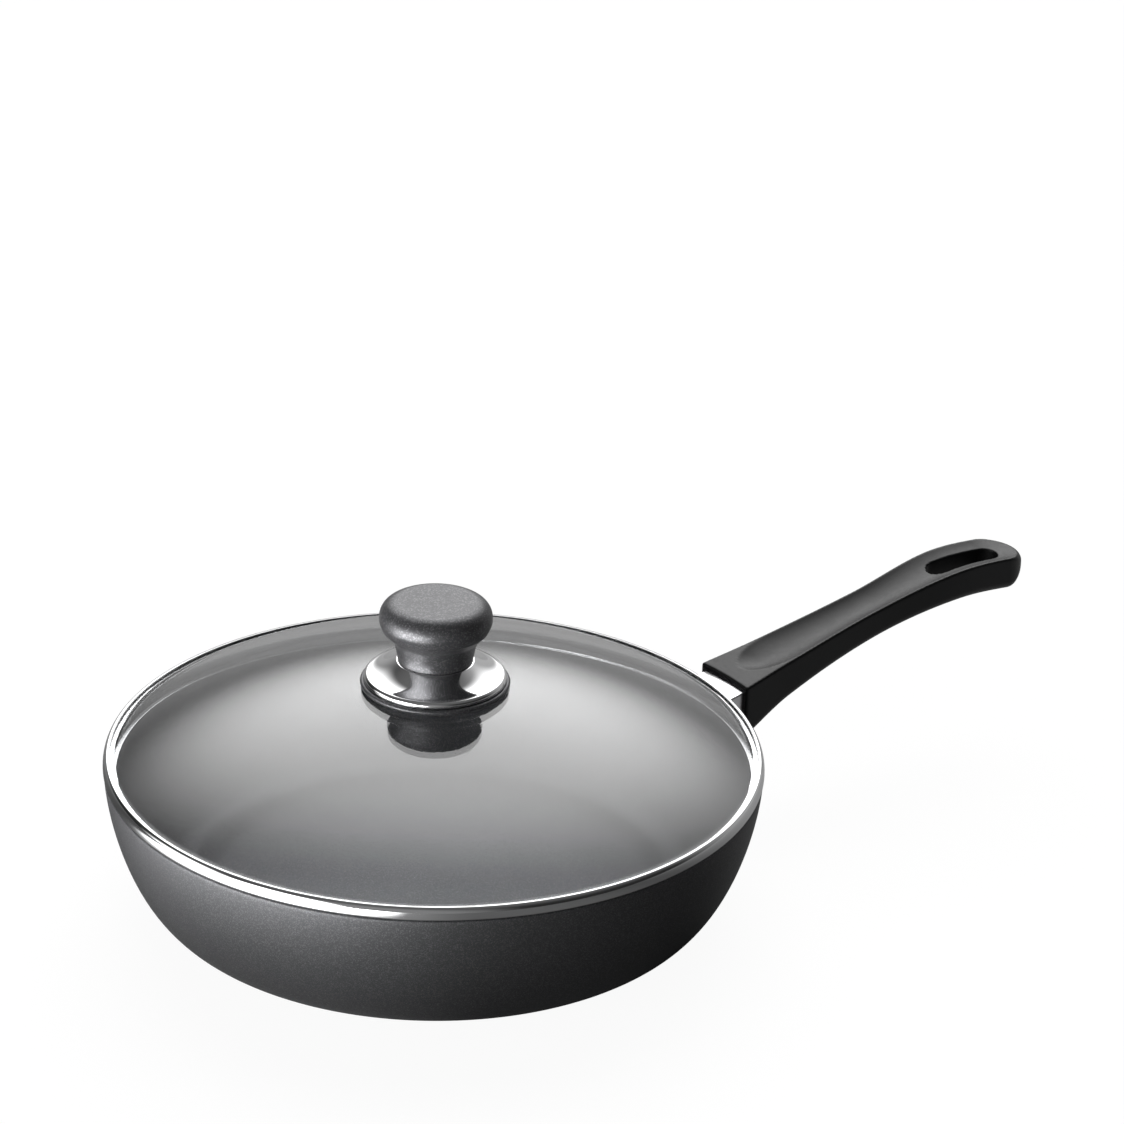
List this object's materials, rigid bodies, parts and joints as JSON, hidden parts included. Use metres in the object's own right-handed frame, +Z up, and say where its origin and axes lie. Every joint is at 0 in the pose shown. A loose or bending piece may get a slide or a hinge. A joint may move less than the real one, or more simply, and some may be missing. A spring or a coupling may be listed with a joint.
{
  "type": "saute pan with lid",
  "caption": "Saute pan with curved cast walls, a long moulded handle with thumb groove and hanging slot, and a domed glass lid with a steel rim and a waisted knob.",
  "frame": {"origin": "middle of the pan's flat base, on the surface that the pan stands on", "axes": "+Z up along the axis of the pan and the lid; +X along the handle, away from the pan"},
  "size_m": [0.4434, 0.267, 0.1317],
  "materials": {
    "pan_coating": "dark charcoal ceramic non-stick coating with fine metallic sparkle on cast aluminium",
    "polished_bracket": "polished",
    "spring_steel": "plain spring steel",
    "grip_phenolic": "matte moulded, fine grain",
    "lid_glass": "clear tempered, polished",
    "rim_steel": "polished stainless steel",
    "seal_rubber": "matte",
    "knob_phenolic": "satin moulded with fine sparkle",
    "plate_steel": "mirror-polished stainless steel",
    "insert_brass": "turned",
    "screw_steel": "plain stainless steel"
  },
  "bodies": {
    "pan": {"pan_body": "pan_coating", "handle_bracket": "polished_bracket", "lock_spring": "spring_steel", "handle_grip": "grip_phenolic"},
    "lid": {"lid_glass": "lid_glass", "lid_rim": "rim_steel", "upper_seal": "seal_rubber", "knob_base": "knob_phenolic", "knob_plate": "plate_steel", "knob": "knob_phenolic", "knob_insert": "insert_brass", "lower_seal": "seal_rubber", "washer": "screw_steel", "knob_screw": "screw_steel"}
  },
  "joints": [
    {"name": "lid_lift", "type": "slide", "parent": "pan", "child": "lid", "axis": [0, 0, 1], "range_m": [0, 0.12]}
  ]
}
